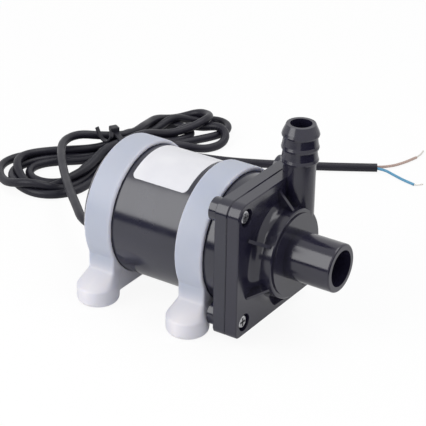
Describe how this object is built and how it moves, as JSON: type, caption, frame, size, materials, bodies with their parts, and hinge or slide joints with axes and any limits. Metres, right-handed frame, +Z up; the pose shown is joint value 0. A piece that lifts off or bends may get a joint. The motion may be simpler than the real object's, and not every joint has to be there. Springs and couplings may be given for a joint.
{
  "type": "solar water pump",
  "caption": "Small brushless DC centrifugal water pump with straight inlet, barbed outlet, silicone mounting rings and a tied two-wire lead.",
  "frame": {"origin": "on the floor under the middle of the pump, measured from rear cap to inlet mouth and between the feet", "axes": "+X along the pump axis towards the inlet, +Y to the side that the outlet stands on, +Z up along the outlet"},
  "size_m": [0.2106, 0.2142, 0.0828],
  "materials": {
    "black_gloss": "glossy moulded",
    "black_body": "satin moulded",
    "silicone": "translucent satin",
    "label": "satin film",
    "screw_steel": "bright",
    "black_rubber": "satin",
    "seal_rubber": "satin",
    "tie_nylon": "satin",
    "cable_jacket": "matte",
    "wire_brown": "satin",
    "wire_blue": "satin",
    "tinned_copper": "tinned",
    "shaft_steel": "ground",
    "impeller_plastic": "moulded",
    "magnet": "ground ferrite",
    "bush_graphite": "matte",
    "washer_ceramic": "ground",
    "can_plastic": "moulded",
    "lamination_steel": "stacked edges",
    "copper_winding": "enamelled",
    "insulator_plastic": "moulded",
    "board": "solder mask",
    "component_black": "moulded",
    "capacitor_can": "sleeved"
  },
  "bodies": {
    "pump": {"pump_cover": "black_gloss", "motor_housing": "black_body", "rear_cap": "black_body", "isolation_can": "can_plastic", "seal_ring": "seal_rubber", "cover_screws": "screw_steel", "rotor_shaft": "shaft_steel", "front_washer": "washer_ceramic", "rear_washer": "washer_ceramic", "stator_core": "lamination_steel", "slot_liners": "insulator_plastic", "stator_coils": "copper_winding", "front_insulator": "insulator_plastic", "rear_insulator": "insulator_plastic", "driver_board": "board", "capacitor": "capacitor_can", "controller_chip": "component_black", "power_transistors": "component_black", "hall_sensor": "component_black", "mount_ring_front": "silicone", "mount_ring_rear": "silicone", "rating_label": "label", "strain_relief": "black_rubber", "board_leads": "wire_brown", "cable_lead": "cable_jacket", "cable_tail": "cable_jacket", "cable_hank": "cable_jacket", "cable_tie": "tie_nylon", "brown_wire": "wire_brown", "blue_wire": "wire_blue", "bare_strands": "tinned_copper"},
    "rotor": {"impeller": "impeller_plastic", "rotor_magnet": "magnet", "front_bush": "bush_graphite", "rear_bush": "bush_graphite"}
  },
  "joints": [
    {"name": "rotor_spin", "type": "hinge", "parent": "pump", "child": "rotor", "pos_m": [0.02395, 0, 0.0325], "axis": [1, 0, 0], "continuous": true}
  ]
}
